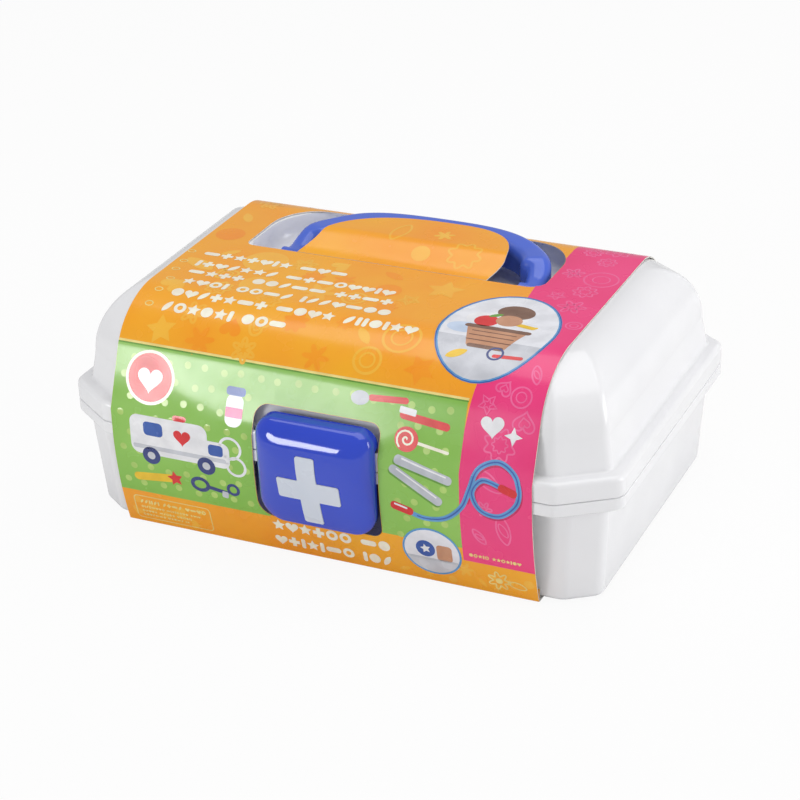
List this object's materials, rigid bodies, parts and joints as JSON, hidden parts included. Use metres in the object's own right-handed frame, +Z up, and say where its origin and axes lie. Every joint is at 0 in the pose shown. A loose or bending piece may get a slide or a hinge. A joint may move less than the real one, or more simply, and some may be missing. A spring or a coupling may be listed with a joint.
{
  "type": "toy doctor case",
  "caption": "Octagonal plastic toy case with a hinged domed lid, a folding carry handle, a front latch with a cross and a printed card sleeve wrapped round it.",
  "frame": {"origin": "on the surface that the case stands on, under the centre of its rim", "axes": "+X along the case to its right end as seen from the latch side, +Y from the latch to the hinges, +Z up"},
  "size_m": [0.27, 0.1948, 0.1155],
  "materials": {
    "white_plastic": "glossy moulded white plastic",
    "blue_plastic": "glossy blue plastic",
    "handle_plastic": "satin blue plastic",
    "cross_plastic": "pale satin plastic",
    "steel": "drawn wire",
    "print": null,
    "print_low": null,
    "print_flap": null
  },
  "bodies": {
    "base": {"base_tub": "white_plastic", "sleeve_lower": "print_low", "hinge_pin_left": "steel", "hinge_pin_right": "steel"},
    "lid": {"lid_shell": "white_plastic", "sleeve_upper": "print", "handle_pin_left": "blue_plastic", "handle_pin_right": "blue_plastic", "latch_pin": "steel"},
    "handle": {"handle_bail": "handle_plastic", "handle_inlay": "handle_plastic"},
    "latch": {"latch_cover": "blue_plastic", "latch_cross": "cross_plastic"},
    "flap": {"sleeve_flap": "print_flap"}
  },
  "joints": [
    {"name": "lid_hinge", "type": "hinge", "parent": "base", "child": "lid", "pos_m": [0, 0.091, 0.054], "axis": [-1, 0, 0], "range_deg": [0, 100]},
    {"name": "handle_pivot", "type": "hinge", "parent": "lid", "child": "handle", "pos_m": [0, 0.0118, 0.1025], "axis": [1, 0, 0], "range_deg": [0, 90]},
    {"name": "latch_pivot", "type": "hinge", "parent": "lid", "child": "latch", "pos_m": [0, -0.088, 0.0685], "axis": [-1, 0, 0], "range_deg": [0, 70]},
    {"name": "flap_fold", "type": "hinge", "parent": "lid", "child": "flap", "pos_m": [-0.0105, 0.0061, 0.1083], "axis": [1, 0, 0], "range_deg": [0, 90]}
  ],
  "couplings": [
    {"joint": "flap_fold", "follows": "handle_pivot", "ratio": 1}
  ]
}
